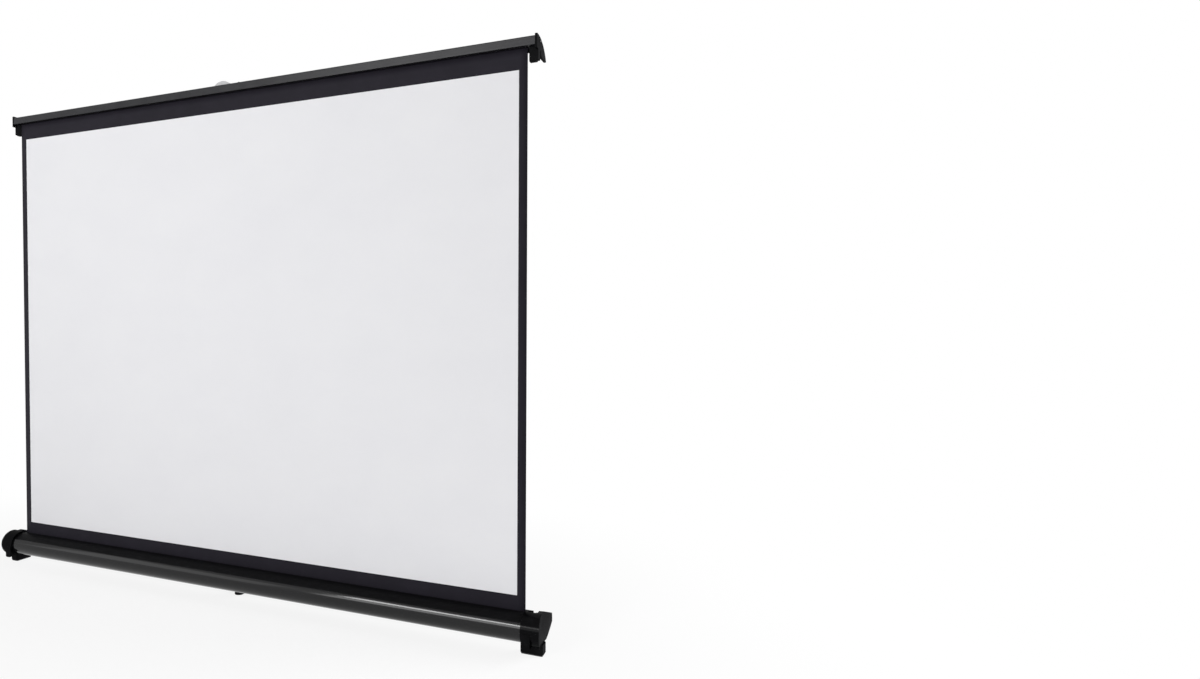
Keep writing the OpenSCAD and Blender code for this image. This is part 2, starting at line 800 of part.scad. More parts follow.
module latch_screw() {
  y0 = bar_back + bracket_t;
  color("#b4b7bc") seat() translate([latch_x, 0, bar_z + latch_up]) {
    pin_y(latch_pin_r, bar_back, lever_back + 2*face_gap);
    pin_y(latch_pin_r + 1.5, y0, lever_y - face_gap);
    pin_y(latch_pin_r + 1.7, lever_back + face_gap, lever_back + 1.5);
  }
}

// Stud on the case that the lever closes on
module catch_stud() {
  color("#b4b7bc") seat() translate([latch_x, 0, catch_z()]) {
    pin_y(catch_r, lip_back - 3, lever_back + 1.2);
    pin_y(catch_r + 1.6, lip_back, lip_back + 1.2);
    pin_y(catch_r + 1, lever_back + 0.5, lever_back + 1.6);
  }
}

// Steel angle in the trough that carries the lower pivots
module base_bracket() {
  y1 = upper_y + arm_d - web_gap;
  y0 = y1 - base_bracket_t;
  z0 = case_z + rib_h;
  flange_y = chamber_back(rib_h + base_bracket_t + 2) + soft_gap;
  color("#202124") seat() difference() {
    union() {
      // Low between the ears, where the latch knob comes down
      along_y(y0, y1) {
        translate([-bracket_x, z0]) round_box(2*bracket_x, plate_low, bracket_r);
        for (s = [-1, 1]) translate([s*pivot_dx - ear_w/2, z0])
          round_box(ear_w, base_pivot_z + ear_up - z0, bracket_r);
      }
      translate([flange_in - bracket_x, flange_y, z0])
        cube([2*(bracket_x - flange_in), y1 - flange_y, base_bracket_t]);
    }
    for (s = [-1, 1]) {
      translate([s*pivot_dx, 0, base_pivot_z]) pin_y(pin_r, y0 - 1, y1 + 1);
      translate([s*base_screw_x, screw_y, z0 - 1]) cylinder(r = screw_r, h = base_bracket_t + 2);
    }
  }
}

module base_screws() {
  color("#6d7076") seat() for (s = [-1, 1]) translate([s*base_screw_x, screw_y, case_z + rib_h]) {
    translate([0, 0, -base_screw_deep]) cylinder(r = screw_r, h = base_screw_deep + base_bracket_t);
    translate([0, 0, base_bracket_t]) cylinder(r = screw_r + 1.4, h = 1.4);
  }
}

module base_pins() {
  y0 = upper_y + arm_d - web_gap - base_bracket_t;
  color("#b4b7bc") seat() for (s = [-1, 1]) translate([s*pivot_dx, 0, base_pivot_z])
    arm_pin(y0, base_bracket_t, lower_y);
}

// Channel with its pivot at the origin, running up local Z to the elbow, open towards -Y
module arm_channel(y0) {
  y1 = y0 + arm_d;
  difference() {
    along_y(y0, y1) {
      circle(r = arm_w/2);
      translate([-arm_w/2, 0]) square([arm_w, arm_len - tongue_out]);
    }
    along_y(y0 - 1, y1 - arm_t) {
      circle(r = arm_w/2 - arm_t);
      translate([arm_t - arm_w/2, 0]) square([arm_w - 2*arm_t, arm_len]);
    }
    pin_y(pin_r + run, y0, y1 + 1);
    for (d = arm_rivet_d) translate([0, 0, arm_len - tongue_out - d]) pin_y(screw_r, y0, y1 + 1);
  }
}

// Tongue that carries the elbow, its hole is bore
module arm_tongue(y0, bore) {
  y1 = y0 + arm_d - arm_t;
  difference() {
    along_y(y1 - tongue_t, y1) {
      translate([0, arm_len]) circle(r = knuckle_r);
      translate([run + arm_t - arm_w/2, arm_len - tongue_out - tongue_in])
        square([arm_w - 2*arm_t - 2*run, tongue_out + tongue_in]);
    }
    translate([0, 0, arm_len]) pin_y(bore, y0, y1 + 1);
    for (d = arm_rivet_d) translate([0, 0, arm_len - tongue_out - d]) pin_y(screw_r, y0, y1 + 1);
  }
}

module arm_rivets(y0) {
  y1 = y0 + arm_d;
  for (d = arm_rivet_d) translate([0, 0, arm_len - tongue_out - d]) {
    pin_y(screw_r, y1 - arm_t - tongue_t, y1);
    pin_y(screw_r + 0.9, y1, y1 + 0.7);
  }
}

// Places a lower arm: it leans outwards from the case's pivot
module at_lower(s) {
  seat() side(s) translate([pivot_dx, 0, base_pivot_z]) rotate([0, rest_a, 0]) children();
}

// Places an upper arm: it leans outwards and down from the bar's pivot
module at_upper(s) {
  seat() side(s) translate([pivot_dx, 0, bar_pivot_z]) rotate([0, 180 - rest_a, 0]) children();
}

module lower_arm_left() {
  color("#1a1b1d") at_lower(-1) arm_channel(lower_y);
}

module lower_arm_right() {
  color("#1a1b1d") at_lower(1) arm_channel(lower_y);
}

module upper_arm_left() {
  color("#1a1b1d") at_upper(-1) arm_channel(upper_y);
}

module upper_arm_right() {
  color("#1a1b1d") at_upper(1) arm_channel(upper_y);
}

module lower_tongue_left() {
  color("#c3c6ca") at_lower(-1) arm_tongue(lower_y, pin_r);
}

module lower_tongue_right() {
  color("#c3c6ca") at_lower(1) arm_tongue(lower_y, pin_r);
}

module upper_tongue_left() {
  color("#c3c6ca") at_upper(-1) arm_tongue(upper_y, pin_r + run);
}

module upper_tongue_right() {
  color("#c3c6ca") at_upper(1) arm_tongue(upper_y, pin_r + run);
}

module arm_rivets_lower_left() {
  color("#9a9da2") at_lower(-1) arm_rivets(lower_y);
}

module arm_rivets_lower_right() {
  color("#9a9da2") at_lower(1) arm_rivets(lower_y);
}

module arm_rivets_upper_left() {
  color("#9a9da2") at_upper(-1) arm_rivets(upper_y);
}

module arm_rivets_upper_right() {
  color("#9a9da2") at_upper(1) arm_rivets(upper_y);
}

// Rivet of the elbow: front head, shank and domed rear head
module elbow_rivet(s) {
  upper_front = upper_y + arm_d - arm_t - tongue_t;
  lower_back = lower_y + arm_d - arm_t;
  dome_t = 2;
  dome_r = (head_r*head_r + dome_t*dome_t)/(2*dome_t);
  color("#dfe1e4") seat() translate([s*elbow_x, 0, elbow_z]) {
    pin_y(head_r, upper_front - face_gap - elbow_head_t, upper_front - face_gap);
    pin_y(pin_r, upper_front - 2*face_gap, lower_back + face_gap);
    intersection() {
      pin_y(head_r, lower_back, lower_back + dome_t);
      translate([0, lower_back + dome_t - dome_r, 0]) sphere(r = dome_r);
    }
  }
}

module elbow_rivet_left() {
  elbow_rivet(-1);
}

module elbow_rivet_right() {
  elbow_rivet(1);
}

// Bush that keeps the two tongues apart
module elbow_bush(s) {
  y0 = upper_y + arm_d - arm_t + face_gap;
  y1 = lower_y + arm_d - arm_t - tongue_t;
  color("#8d9096") seat() translate([s*elbow_x, 0, elbow_z]) difference() {
    pin_y(pin_r + 3, y0, y1);
    pin_y(pin_r, y0 - 1, y1 + 1);
  }
}

module elbow_bush_left() {
  elbow_bush(-1);
}

module elbow_bush_right() {
  elbow_bush(1);
}

case_extrusion();
end_cap_left();
end_cap_right();
cap_screws();
foot_left();
foot_right();
foot_pad_left();
foot_pad_right();
foot_pins();
rear_leg();
leg_tip();
leg_pin();
roller_tube();
roller_plug_left();
roller_plug_right();
wound_fabric();
spring_arbor();
roller_spring();
screen_fabric();
picture_surface();
hem_rod();
top_bar();
bar_end_left();
bar_end_right();
bar_screws();
bar_bracket();
bracket_rivets();
bar_pins();
pull_grip();
latch_lever();
latch_knob();
latch_screw();
catch_stud();
base_bracket();
base_screws();
base_pins();
lower_arm_left();
lower_arm_right();
upper_arm_left();
upper_arm_right();
lower_tongue_left();
lower_tongue_right();
upper_tongue_left();
upper_tongue_right();
elbow_rivet_left();
elbow_rivet_right();
elbow_bush_left();
elbow_bush_right();
arm_rivets_lower_left();
arm_rivets_lower_right();
arm_rivets_upper_left();
arm_rivets_upper_right();
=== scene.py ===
"""Tabletop projection screen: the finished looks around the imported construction, in metres."""

import json
import math

import bmesh
import bpy
from mathutils import Matrix, Vector, noise


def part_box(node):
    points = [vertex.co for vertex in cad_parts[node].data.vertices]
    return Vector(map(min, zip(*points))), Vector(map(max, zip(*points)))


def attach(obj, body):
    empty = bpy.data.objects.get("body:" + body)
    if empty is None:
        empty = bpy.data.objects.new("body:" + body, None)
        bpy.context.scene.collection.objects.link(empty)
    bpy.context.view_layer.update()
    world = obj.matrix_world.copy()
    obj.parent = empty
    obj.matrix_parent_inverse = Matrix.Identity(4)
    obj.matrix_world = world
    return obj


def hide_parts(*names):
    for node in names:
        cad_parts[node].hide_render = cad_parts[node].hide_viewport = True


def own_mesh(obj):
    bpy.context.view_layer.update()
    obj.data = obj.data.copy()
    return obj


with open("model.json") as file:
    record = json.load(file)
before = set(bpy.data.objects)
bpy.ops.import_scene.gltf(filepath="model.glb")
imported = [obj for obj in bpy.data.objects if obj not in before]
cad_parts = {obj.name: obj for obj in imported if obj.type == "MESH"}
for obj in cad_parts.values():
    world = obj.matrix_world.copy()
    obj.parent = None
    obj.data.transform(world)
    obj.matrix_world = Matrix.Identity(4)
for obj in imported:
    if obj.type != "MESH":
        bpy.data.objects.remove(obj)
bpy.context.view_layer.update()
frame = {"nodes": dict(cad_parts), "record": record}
NODES = frame["nodes"]
BODY_OF = {
    node: body
    for body, members in frame["record"]["behaviour"]["bodies"].items()
    for node in members
}
SLOT_OF = {row["node"]: row["material_slot"] for row in frame["record"]["subparts"]}
MM = 0.001


# Shader maths

class Socket:
    """A node's output that adds Math nodes when it is used in an expression."""

    def __init__(self, finish, output):
        self.finish = finish
        self.output = output

    def _math(self, operation, first, second):
        return self.finish.node("Math", {"operation": operation}, {0: first, 1: second})

    def __add__(self, other):
        return self._math("ADD", self, other)

    def __sub__(self, other):
        return self._math("SUBTRACT", self, other)

    def __rsub__(self, other):
        return self._math("SUBTRACT", other, self)

    def __mul__(self, other):
        return self._math("MULTIPLY", self, other)

    def __pow__(self, other):
        return self._math("POWER", self, other)

    def highest(self, other):
        return self._math("MAXIMUM", self, other)

    def within(self, low, high):
        """Goes from 0 to 1 smoothly as this value goes from low to high."""
        links = {"Value": self, "From Min": low, "From Max": high}
        return self.finish.node("MapRange", {"interpolation_type": "SMOOTHSTEP"}, links)

    __radd__ = __add__
    __rmul__ = __mul__


class Finish:
    """One material: its shader's own constants first, then what changes over the surface."""

    def __init__(self, name, **constants):
        self.material = bpy.data.materials.new(name)
        self.material.use_nodes = True
        self.tree = self.material.node_tree
        self.shader = self.tree.nodes["Principled BSDF"]
        for key, value in constants.items():
            socket = self.shader.inputs[key.replace("_", " ").title().replace("Ior", "IOR")]
            socket.default_value = (*value, 1.0) if isinstance(value, tuple) else value

    def node(self, kind, settings, links, out=0):
        """Adds any node: its settings first, then the values or links of its sockets."""
        made = self.tree.nodes.new("ShaderNode" + kind)
        for key, value in settings.items():
            setattr(made, key, value)
        for key, value in links.items():
            if isinstance(value, Socket):
                self.tree.links.new(value.output, made.inputs[key])
            else:
                made.inputs[key].default_value = value
        return Socket(self, made.outputs[out])

    def place(self, stretch=(1, 1, 1)):
        """Object coordinates, squeezed along each axis by stretch."""
        here = self.node("TexCoord", {}, {}, out="Object")
        return self.node("Mapping", {}, {"Vector": here, "Scale": stretch})

    def axis(self, name):
        """One coordinate of the point, in metres."""
        here = self.node("TexCoord", {}, {}, out="Object")
        return self.node("SeparateXYZ", {}, {0: here}, out=name)

    def grain(self, scale, stretch=(1, 1, 1), detail=3.0, rough=0.55):
        """Noise from 0 to 1, with scale counted per metre."""
        links = {"Vector": self.place(stretch), "Scale": scale, "Detail": detail}
        return self.node("TexNoise", {}, {**links, "Roughness": rough})

    def cells(self, scale):
        return self.node("TexVoronoi", {}, {"Vector": self.place(), "Scale": scale})

    def blend(self, amount, low, high):
        """A colour between low and high."""
        sockets = {"Factor": amount, 6: (*low, 1.0), 7: (*high, 1.0)}
        return self.node("Mix", {"data_type": "RGBA"}, sockets, out=2)

    def bump(self, height, strength, depth):
        return self.node("Bump", {}, {"Strength": strength, "Distance": depth, "Height": height})

    def put(self, **links):
        for key, value in links.items():
            self.tree.links.new(value.output, self.shader.inputs[key.replace("_", " ").title()])
        return self.material


# Height above the table at which the case's round front ends and its sloping strip begins
STRIP_Z = 49.5 * MM
STRIP_EDGE = 0.5 * MM


def anodised_black():
    """Extruded aluminium, anodised black: die lines, faint scuffs, a duller sloping strip."""
    f = Finish("anodised_black", specular_ior_level=0.02, coat_roughness=0.09)
    lines = f.grain(900, (0.004, 1, 1), detail=2)
    cloud = f.grain(9, (0.4, 1, 1))
    scuff = f.grain(260, (0.08, 1, 1), detail=5).within(0.64, 0.8)
    tint = f.blend(cloud * 0.6 + scuff * 0.5, (0.003, 0.003, 0.0034), (0.010, 0.010, 0.011))
    dull = f.axis("Z").within(STRIP_Z - STRIP_EDGE, STRIP_Z + STRIP_EDGE)
    rough = 0.09 + lines * 0.07 + cloud * 0.05 + scuff * 0.12 + dull * 0.38
    gloss = 0.60 - dull * 0.57
    relief = f.bump(lines, 0.07, 0.0004)
    return f.put(base_color=tint, roughness=rough, coat_weight=gloss, normal=relief)


def satin_black():
    """The bar's duller black: the same die lines under a satin finish."""
    f = Finish("satin_black", specular_ior_level=0.2)
    lines = f.grain(700, (0.004, 1, 1), detail=2)
    patch = f.grain(48, (0.6, 1, 1), detail=2)
    tint = f.blend(patch, (0.006, 0.006, 0.008), (0.024, 0.024, 0.027))
    rough = 0.16 + lines * 0.10 + patch * 0.26
    return f.put(base_color=tint, roughness=rough, normal=f.bump(lines, 0.12, 0.0004))


def moulded_black(name, gloss, matt):
    """Moulded plastic with an eroded grain under a thin gloss, rubbed smoother in patches."""
    f = Finish(name, specular_ior_level=0.0, coat_weight=gloss, coat_roughness=matt)
    grain = f.grain(2600, detail=2)
    rubbed = f.grain(34, detail=3).within(0.45, 0.7)
    tint = f.blend(rubbed, (0.003, 0.003, 0.0035), (0.007, 0.007, 0.008))
    rough = matt - rubbed * 0.06 + grain * 0.05
    return f.put(base_color=tint, roughness=rough, normal=f.bump(grain, 0.08, 0.0003))


def dark_rubber():
    f = Finish("dark_rubber", specular_ior_level=0.3)
    grain = f.grain(1300, detail=4)
    dust = f.grain(60, detail=4).within(0.5, 0.78)
    tint = f.blend(dust, (0.020, 0.020, 0.022), (0.055, 0.053, 0.050))
    return f.put(base_color=tint, roughness=0.72 + grain * 0.15, normal=f.bump(grain, 0.3, 0.0005))


def pale_rubber():
    f = Finish("pale_rubber", specular_ior_level=0.3)
    grain = f.grain(1300, detail=4)
    worn = f.grain(120, detail=3)
    tint = f.blend(worn, (0.42, 0.44, 0.48), (0.54, 0.56, 0.60))
    return f.put(base_color=tint, roughness=0.6 + grain * 0.2, normal=f.bump(grain, 0.25, 0.0005))


def pale_plastic(name, low, high):
    f = Finish(name, specular_ior_level=0.4)
    grain = f.grain(2200, detail=2)
    cloud = f.grain(70, detail=3)
    tint = f.blend(cloud, low, high)
    rough = 0.38 + grain * 0.12
    return f.put(base_color=tint, roughness=rough, normal=f.bump(grain, 0.15, 0.0004))


def painted_arm():
    """Thin satin paint on folded steel, with orange peel and rubbed specks."""
    f = Finish("painted_arm", specular_ior_level=0.25, coat_weight=0.06, coat_roughness=0.25)
    peel = f.grain(420, detail=2)
    specks = f.grain(190, detail=6).within(0.68, 0.76)
    tint = f.blend(specks, (0.026, 0.027, 0.028), (0.11, 0.11, 0.11))
    return f.put(base_color=tint, roughness=0.31 + peel * 0.14, normal=f.bump(peel, 0.10, 0.0006))


def zinc_plate():
    """Bright zinc plate: cloudy patches and a faint spangle."""
    f = Finish("zinc_plate", metallic=1.0)
    cloud = f.grain(150, detail=5)
    spangle = f.cells(420)
    tint = f.blend(cloud * 0.7 + spangle * 0.4, (0.20, 0.21, 0.23), (0.38, 0.40, 0.42))
    rough = 0.30 + cloud * 0.16
    return f.put(base_color=tint, roughness=rough, normal=f.bump(cloud, 0.10, 0.0004))


def chrome_plate():
    f = Finish("chrome_plate", metallic=1.0)
    haze = f.grain(300, detail=4)
    tint = f.blend(haze, (0.66, 0.67, 0.69), (0.82, 0.83, 0.84))
    return f.put(base_color=tint, roughness=0.07 + haze * 0.08, normal=f.bump(haze, 0.04, 0.0003))


def bright_steel():
    f = Finish("bright_steel", metallic=1.0)
    turned = f.grain(900, (1, 0.06, 1), detail=2)
    tint = f.blend(turned, (0.34, 0.35, 0.37), (0.52, 0.54, 0.56))
    rough = 0.26 + turned * 0.14
    return f.put(base_color=tint, roughness=rough, normal=f.bump(turned, 0.12, 0.0003))


def black_screw():
    f = Finish("black_screw", metallic=0.85)
    rub = f.grain(700, detail=4).within(0.45, 0.75)
    tint = f.blend(rub, (0.02, 0.02, 0.022), (0.09, 0.09, 0.095))
    return f.put(base_color=tint, roughness=0.34 + rub * 0.12, normal=f.bump(rub, 0.1, 0.0003))


def bare_aluminium():
    f = Finish("bare_aluminium", metallic=1.0)
    lines = f.grain(800, (0.01, 1, 1), detail=2)
    tint = f.blend(lines, (0.52, 0.54, 0.56), (0.68, 0.70, 0.72))
    return f.put(base_color=tint, roughness=0.30 + lines * 0.12, normal=f.bump(lines, 0.1, 0.0004))


def picture_white():
    """Matt white projection coat: a fine even tooth and a barely uneven tone."""
    f = Finish("picture_white", specular_ior_level=0.05, roughness=0.9)
    tooth = f.grain(2400, detail=2)
    cloud = f.grain(7, (1, 1, 1.6), detail=4)
    tint = f.blend(cloud, (0.795, 0.795, 0.822), (0.845, 0.845, 0.862))
    return f.put(base_color=tint, normal=f.bump(tooth, 0.10, 0.0003))


def border_black():
    """Black border of the front, a flat black with a violet cast."""
    f = Finish("border_black", specular_ior_level=0.1)
    weave = f.grain(1500)
    cloud = f.grain(24, detail=3)
    tint = f.blend(cloud, (0.010, 0.009, 0.013), (0.018, 0.016, 0.023))
    return f.put(base_color=tint, roughness=0.58 + weave * 0.14, normal=f.bump(weave, 0.2, 0.0003))


def backing_black():
    """Black-out coat on the back: a leathery pebble that breaks the light into grain."""
    f = Finish("backing_black", specular_ior_level=0.65)
    pebble = f.cells(420)
    fine = f.grain(1500, detail=4)
    speckle = f.grain(150, detail=5, rough=0.8)
    cloud = f.grain(9, (0.5, 1, 1.6), detail=4)
    tint = f.blend(cloud * 0.5 + speckle * 0.5, (0.016, 0.016, 0.017), (0.036, 0.036, 0.038))
    relief = f.bump(pebble * 0.3 + fine * 0.3 + speckle, 0.6, 0.0011)
    return f.put(base_color=tint, roughness=0.30 + speckle * 0.16 + cloud * 0.06, normal=relief)


FINISHES = {
    "black_plastic": moulded_black("moulded_black", 0.08, 0.15),
    "rubber_dark": dark_rubber(),
    "rubber_light": pale_rubber(),
    "grip_grey": pale_plastic("grip_grey", (0.46, 0.46, 0.47), (0.56, 0.56, 0.57)),
    "white_nylon": pale_plastic("white_nylon", (0.62, 0.62, 0.59), (0.70, 0.70, 0.67)),
    "bare_aluminium": bare_aluminium(),
    "steel_fixings": bright_steel(),
    "black_screws": black_screw(),
    "chrome": chrome_plate(),
    "zinc": zinc_plate(),
    "arm_paint": painted_arm(),
    "screen_black": border_black(),
    "black_anodised": anodised_black(),
}
BAR_FINISH = satin_black()
PICTURE = picture_white()
BACKING = backing_black()


# Pieces

def add_piece(name, mesh_in_progress, body, slot, *materials):
    """Turns a bmesh into a piece that rides on a body."""
    mesh = bpy.data.meshes.new(name)
    mesh_in_progress.to_mesh(mesh)
    mesh_in_progress.free()
    for material in materials:
        mesh.materials.append(material)
    piece = bpy.data.objects.new(name, mesh)
    bpy.context.scene.collection.objects.link(piece)
    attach(piece, body)
    return piece


# Angles between faces: up to the first they are one flat face, up to the second they are shaded
# as one surface, and past the third their edge is rounded
FLAT_BELOW = math.radians(0.6)
SMOOTH_BELOW = math.radians(34)
HARD_ABOVE = math.radians(40)
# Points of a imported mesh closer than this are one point
SAME_POINT = 0.002 * MM


def smooth_by_angle(work, limit=SMOOTH_BELOW):
    for face in work.faces:
        face.smooth = True
    for edge in work.edges:
        edge.smooth = edge.is_manifold and edge.calc_face_angle(0.0) < limit


def even_normals(piece):
    """Keeps flat faces flat beside their rounded edges."""
    modifier = piece.modifiers.new("even_normals", "WEIGHTED_NORMAL")
    modifier.keep_sharp = True
    modifier.weight = 80


def merged_copy(node):
    """A node's own shape as one closed skin with its flat faces whole."""
    work = bmesh.new()
    work.from_mesh(NODES[node].data)
    bmesh.ops.remove_doubles(work, verts=work.verts, dist=SAME_POINT)
    bmesh.ops.dissolve_degenerate(work, dist=SAME_POINT, edges=work.edges)
    bmesh.ops.dissolve_limit(
        work, angle_limit=FLAT_BELOW, verts=work.verts, edges=work.edges,
    )
    return work


def soften(node, radius, finish=None):
    """A node's own shape with its hard edges rounded to a radius in millimetres."""
    work = merged_copy(node)
    hard = [e for e in work.edges if e.is_manifold and e.calc_face_angle(0.0) > HARD_ABOVE]
    bmesh.ops.bevel(
        work, geom=hard, offset=radius * MM, offset_type="OFFSET", segments=2, profile=0.5,
        affect="EDGES", clamp_overlap=True, material=-1,
    )
    smooth_by_angle(work)
    for face in work.faces:
        face.material_index = 0
    material = finish or FINISHES[SLOT_OF[node]]
    piece = add_piece(node + "_finished", work, BODY_OF[node], SLOT_OF[node], material)
    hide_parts(node)
    even_normals(piece)


def both(name):
    return [name + "_left", name + "_right"]


# Radius of each piece's edges, in millimetres
SOFTENED = {
    "case_extrusion": 0.35, "top_bar": 0.35, "pull_grip": 0.9, "rear_leg": 0.7,
    "leg_tip": 0.5, "latch_lever": 0.35, "bar_bracket": 0.2, "base_bracket": 0.25,
    "latch_knob": 0.45, "bar_pins": 0.5, "base_pins": 0.5, "bracket_rivets": 0.45,
    "catch_stud": 0.4, "foot_pins": 0.5, "leg_pin": 0.5,
}
for pair, rounding in {
    "end_cap": 0.8, "foot": 0.7, "foot_pad": 0.35, "bar_end": 0.45,
    "lower_arm": 0.25, "upper_arm": 0.25, "lower_tongue": 0.3, "upper_tongue": 0.3,
    "arm_rivets_lower": 0.4, "arm_rivets_upper": 0.4, "elbow_rivet": 0.3,
}.items():
    SOFTENED.update(dict.fromkeys(both(pair), rounding))
# The bar and its ends are duller than the case, and the arms' rivets are painted with them
OWN_FINISH = {"top_bar": BAR_FINISH, "bracket_rivets": FINISHES["black_screws"]}
OWN_FINISH.update(dict.fromkeys(both("bar_end"), moulded_black("matt_black", 0.06, 0.5)))
for level in ("arm_rivets_lower", "arm_rivets_upper"):
    OWN_FINISH.update(dict.fromkeys(both(level), FINISHES["arm_paint"]))
for node, rounding in SOFTENED.items():
    soften(node, rounding, OWN_FINISH.get(node))


# Screws with a cross recess

def loose_parts(work):
    """Groups the vertices that hang together."""
    left = set(work.verts)
    while left:
        group, edge_of_group = set(), [left.pop()]
        while edge_of_group:
            vertex = edge_of_group.pop()
            group.add(vertex)
            for edge in vertex.link_edges:
                other = edge.other_vert(vertex)
                if other in left:
                    left.discard(other)
                    edge_of_group.append(other)
        yield group


SCREW_STEPS = 40
# The domed side of the head, in shares of its radius and of its height
DOME = ((1.0, 0.45), (0.94, 0.72), (0.8, 0.92), (0.64, 1.0))
# The cross recess: reach and half width in shares of the head's radius, the floor's width in
# shares of the rim's, and how high the floor lies in the head
CROSS_REACH = 0.5
CROSS_HALF = 0.13
CROSS_TAPER = 0.62
CROSS_FLOOR = 0.3
SCREW_SMOOTH_BELOW = math.radians(32)
# Points of a plain screw this near its widest radius are its head's, and points this near the
# head's underside are where the shank meets it
RIM_DEPTH = 0.05 * MM
SEAT_DEPTH = 0.02 * MM


def open_edges(work, side):
    """Edges that only one face uses, above (1) or below (-1) the head's underside."""
    return [e for e in work.edges if e.is_boundary and all(v.co.z * side > 0 for v in e.verts)]


def turned_screw(work, place, shank_r, head_r, shank_l, head_t):
    """A screw along its own +Z, the head's underside at zero, with a cross in a domed head."""
    older = set(work.verts)
    outline = [(shank_r, -shank_l), (shank_r, 0.0), (head_r, 0.0)]
    outline += [(out * head_r, up * head_t) for out, up in DOME]
    line = [work.verts.new((out, 0.0, up)) for out, up in outline]
    side = [work.edges.new(pair) for pair in zip(line, line[1:])]
    bmesh.ops.spin(
        work, geom=line + side, axis=(0, 0, 1), cent=(0, 0, 0), angle=math.tau,
        steps=SCREW_STEPS, use_merge=True,
    )
    bmesh.ops.edgeloop_fill(work, edges=open_edges(work, -1))
    # The cross starts as a flat face, which is pushed down and drawn in, and is then opened
    reach, half = CROSS_REACH * head_r, CROSS_HALF * head_r
    corners = []
    for quarter in range(4):
        turn = Matrix.Rotation(math.pi / 2 * quarter, 3, "Z")
        arm = ((reach, -half), (reach, half), (half, half))
        corners += [work.verts.new(turn @ Vector((x, y, head_t))) for x, y in arm]
    cross = work.faces.new(corners)
    pushed = bmesh.ops.extrude_face_region(work, geom=[cross])["geom"]
    floor = [part for part in pushed if isinstance(part, bmesh.types.BMVert)]
    bmesh.ops.scale(work, vec=(CROSS_TAPER, CROSS_TAPER, CROSS_FLOOR), verts=floor)
    if cross.is_valid:
        bmesh.ops.delete(work, geom=[cross], context="FACES_ONLY")
    bmesh.ops.triangle_fill(work, edges=open_edges(work, 1), normal=(0, 0, 1))
    new = [vertex for vertex in work.verts if vertex not in older]
    bmesh.ops.transform(work, matrix=place, verts=new)


def cross_screws(node, axis):
    """Remakes a node's plain screws, which lie along an axis, with recessed heads."""
    plain = merged_copy(node)
    work = bmesh.new()
    along = "XYZ".index(axis)
    for group in loose_parts(plain):
        low = Vector([min(v.co[i] for v in group) for i in range(3)])
        high = Vector([max(v.co[i] for v in group) for i in range(3)])
        centre = (low + high) / 2

        def reach(vertex):
            away = vertex.co - centre
            away[along] = 0.0
            return away.length

        head_r = max(map(reach, group))
        head = [v.co[along] for v in group if reach(v) > head_r - RIM_DEPTH]
        outward = 1 if high[along] - max(head) < min(head) - low[along] else -1
        underside = min(head) if outward > 0 else max(head)
        seat = [reach(v) for v in group if abs(v.co[along] - underside) < SEAT_DEPTH]
        place = Vector(centre)
        place[along] = underside
        facing = Vector((0, 0, 0))
        facing[along] = outward
        turn = Vector((0, 0, 1)).rotation_difference(facing).to_matrix().to_4x4()
        tip = low[along] if outward > 0 else high[along]
        turned_screw(work, Matrix.Translation(place) @ turn, min(seat), head_r,
                     abs(underside - tip), max(head) - min(head))
    plain.free()
    bmesh.ops.recalc_face_normals(work, faces=work.faces)
    smooth_by_angle(work, SCREW_SMOOTH_BELOW)
    slot = SLOT_OF[node]
    piece = add_piece(node + "_finished", work, BODY_OF[node], slot, FINISHES[slot])
    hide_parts(node)


for screws, lie in {
    "cap_screws": "X", "bar_screws": "X", "base_screws": "Z", "latch_screw": "Y",
}.items():
    cross_screws(screws, lie)


# Screen fabric: one sheet with a white picture area, black borders and a black-out back

FABRIC_LOW, FABRIC_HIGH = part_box("screen_fabric")
PICTURE_LOW, PICTURE_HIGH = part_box("picture_surface")
CASE_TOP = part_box("case_extrusion")[1].z
BAR_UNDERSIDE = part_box("top_bar")[0].z
# The waves' depth, how close they follow each other across and up the sheet, and the slice of
# the noise that they are taken from
RIPPLE = 0.45 * MM
WAVES_X = 3.1
WAVES_Z = 1.6
WAVE_SLICE = 4.2
# Squares of the sheet each way, and how near a cut takes an existing line instead
SQUARES = 56
CUT = 0.01 * MM
# Order of the sheet's three materials
BORDER, FRONT, BACK = range(3)


def bar_drop():
    """How far the bar comes down, from the brace's pivots and the range of its fold."""
    joints = {joint["name"]: joint for joint in frame["record"]["behaviour"]["joints"]}
    pivots = ("brace_fold", "left_elbow", "bar_level")
    base, elbow, top = (Vector(joints[name]["pos_m"]) for name in pivots)
    arm = Vector((elbow.x - base.x, elbow.z - base.z))
    lean = math.atan2(abs(arm.x), arm.y) + math.radians(joints["brace_fold"]["range_deg"][1])
    return top.z - base.z - 2.0 * arm.length * math.cos(lean)


